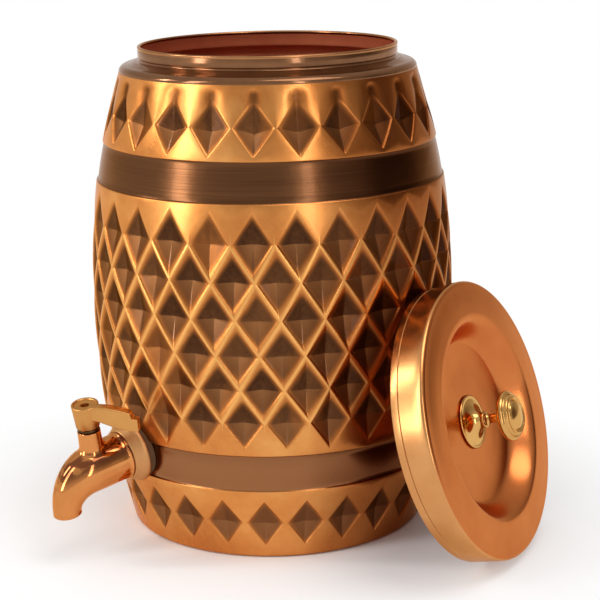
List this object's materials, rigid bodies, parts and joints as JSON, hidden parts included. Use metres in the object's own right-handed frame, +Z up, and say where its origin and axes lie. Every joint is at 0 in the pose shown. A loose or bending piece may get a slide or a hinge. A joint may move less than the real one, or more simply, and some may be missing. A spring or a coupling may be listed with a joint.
{
  "type": "water dispenser pot",
  "caption": "Barrel-shaped copper water pot pressed with diamonds, with a lever tap near its foot and a loose knobbed lid that leans on its side.",
  "frame": {"origin": "centre of the flat base, on the floor", "axes": "+Z up, the tap points along -Y"},
  "size_m": [0.3021, 0.2833, 0.298],
  "materials": {
    "pressed_copper": "satin lacquered copper with antique diamonds",
    "antique_copper": "antique copper under gloss lacquer",
    "bare_copper": "bare copper",
    "mirror_copper": "mirror polish",
    "matt_copper": "matt",
    "satin_copper": "satin, brushed round",
    "polished_brass": "polished",
    "steel": "plain",
    "rubber": "matt",
    "white_plastic": "matt"
  },
  "bodies": {
    "pot": {"barrel_wall": "pressed_copper", "base_pan": "bare_copper", "neck_collar": "antique_copper", "tap_body": "mirror_copper", "tap_flange": "matt_copper", "outer_washer": "rubber", "inner_washer": "rubber", "lock_nut": "polished_brass", "seat_seal": "white_plastic", "gland_nut": "polished_brass"},
    "handle": {"lever": "matt_copper", "handle_screw": "steel", "valve_plug": "polished_brass", "plug_o_ring_upper": "rubber", "plug_o_ring_lower": "rubber"},
    "lid": {"lid_cap": "satin_copper", "lid_edge_ring": "satin_copper", "knob_base": "polished_brass", "knob": "polished_brass", "knob_washer": "steel", "knob_screw": "steel"}
  },
  "joints": [
    {"name": "lever_turn", "type": "hinge", "parent": "pot", "child": "handle", "pos_m": [0, -0.13624, 0.05639], "axis": [0.1045, -0.1702, 0.9798], "range_deg": [-90, 0]},
    {"name": "lid_lift", "type": "slide", "parent": "pot", "child": "lid", "axis": [0, 0, 1], "range_m": [0, 0.32]}
  ]
}
